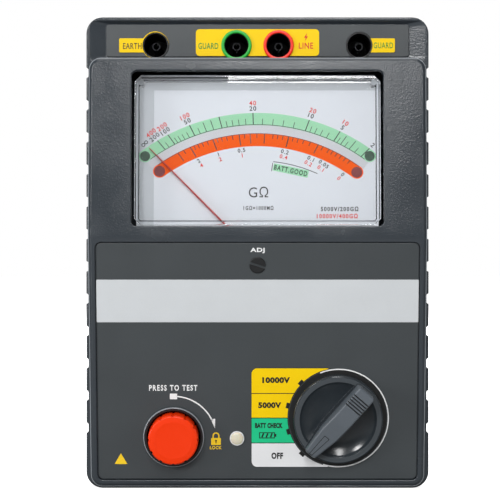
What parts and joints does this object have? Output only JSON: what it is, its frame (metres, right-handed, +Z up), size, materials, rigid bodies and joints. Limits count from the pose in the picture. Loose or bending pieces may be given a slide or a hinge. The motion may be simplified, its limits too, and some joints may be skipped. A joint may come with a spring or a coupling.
{
  "type": "insulation resistance tester",
  "caption": "Handheld high-voltage insulation tester: analogue meter, push-and-turn test button, rotary range selector, lead sockets and a battery bay at the back.",
  "frame": {"origin": "middle of the flat bottom end, halfway between the front of the knob and the back feet", "axes": "+Z up the length of the tester, towards the sockets; the face looks along -Y; +X to the user's right"},
  "size_m": [0.1454, 0.08, 0.2],
  "materials": {
    "case_plastic": "fine-grained slate grey ABS",
    "panel_plastic": "darker grey matt panel",
    "black_plastic": "black moulded plastic",
    "knob_plastic": "glossy dark grey",
    "yellow_film": "printed yellow film",
    "white_film": "printed light grey film",
    "green_plastic": "green collar",
    "red_plastic": "red collar",
    "button_plastic": "orange-red moulding",
    "lens_plastic": "cream diffusing lens",
    "window_plastic": "clear polycarbonate",
    "dial_paint": "white-silver printed dial",
    "pointer_paint": "dark red needle",
    "brass": "machined",
    "steel": "zinc plated",
    "magnet": "cast magnet alloy",
    "copper": "enamelled copper winding",
    "board": "green solder mask",
    "cell_wrap": "plain wrapped dry cell",
    "rubber": "moulded rubber"
  },
  "bodies": {
    "casing": {"rear_case": "case_plastic", "front_cover": "case_plastic", "terminal_panel": "panel_plastic", "line_guard_label": "yellow_film", "earth_label": "yellow_film", "guard_label": "yellow_film", "guard_ring": "green_plastic", "line_ring": "red_plastic", "earth_socket": "black_plastic", "guard_socket": "black_plastic", "line_socket": "black_plastic", "guard_aux_socket": "black_plastic", "earth_contact": "brass", "guard_contact": "brass", "line_contact": "brass", "guard_aux_contact": "brass", "meter_window": "window_plastic", "dial_plate": "dial_paint", "meter_base": "black_plastic", "magnet_yoke": "magnet", "magnet_core": "steel", "control_panel": "panel_plastic", "name_strip": "white_film", "range_label": "white_film", "led_lens": "lens_plastic", "button_bezel": "black_plastic", "button_switch": "black_plastic", "button_spring": "steel", "selector_switch": "black_plastic", "main_board": "board", "hv_transformer": "copper", "hv_module": "black_plastic", "battery_tray": "black_plastic", "cell_1": "cell_wrap", "cell_2": "cell_wrap", "cell_3": "cell_wrap", "cell_4": "cell_wrap", "cell_5": "cell_wrap", "cell_6": "cell_wrap", "cell_7": "cell_wrap", "cell_8": "cell_wrap", "case_screw_bottom_left": "steel", "case_screw_bottom_right": "steel", "case_screw_top_left": "steel", "case_screw_top_right": "steel", "foot_bottom_left": "rubber", "foot_bottom_right": "rubber", "foot_top_left": "rubber", "foot_top_right": "rubber"},
    "selector": {"selector_knob": "knob_plastic", "selector_shaft": "steel"},
    "button_plunger": {"button_plunger": "black_plastic"},
    "button_cap": {"button_cap": "button_plastic"},
    "zero_screw": {"zero_screw": "black_plastic"},
    "zero_lever": {"zero_lever": "brass"},
    "movement": {"pointer": "pointer_paint", "pivot_staff": "steel", "moving_coil": "copper"},
    "battery_cover": {"battery_cover": "case_plastic", "battery_cover_screw": "steel"}
  },
  "joints": [
    {"name": "selector_turn", "type": "hinge", "parent": "casing", "child": "selector", "pos_m": [0.0337, -0.02454, 0.03058], "axis": [0, 0.9924, 0.1229], "range_deg": [0, 90]},
    {"name": "button_press", "type": "slide", "parent": "casing", "child": "button_plunger", "axis": [0, 0.9924, 0.1229], "range_m": [0, 0.004], "deforming": ["button_spring"]},
    {"name": "button_lock", "type": "hinge", "parent": "button_plunger", "child": "button_cap", "pos_m": [-0.0352, -0.02353, 0.02245], "axis": [0, 0.9924, 0.1229], "range_deg": [0, 90]},
    {"name": "zero_screw_turn", "type": "hinge", "parent": "casing", "child": "zero_screw", "pos_m": [0, -0.03248, 0.09469], "axis": [0, 0.9924, 0.1229], "range_deg": [-60, 60]},
    {"name": "zero_lever_swing", "type": "hinge", "parent": "casing", "child": "zero_lever", "pos_m": [0, -0.0345, 0.09852], "axis": [0, 0.9983, -0.0591], "range_deg": [-3.6, 3.6]},
    {"name": "pointer_swing", "type": "hinge", "parent": "zero_lever", "child": "movement", "pos_m": [0, -0.0345, 0.09852], "axis": [0, 0.9983, -0.0591], "range_deg": [0, 89.2]},
    {"name": "battery_cover_lift", "type": "slide", "parent": "casing", "child": "battery_cover", "axis": [0, 1, 0], "range_m": [0, 0.03]}
  ],
  "couplings": [
    {"joint": "zero_screw_turn", "follows": "zero_lever_swing", "ratio": 16.667}
  ]
}
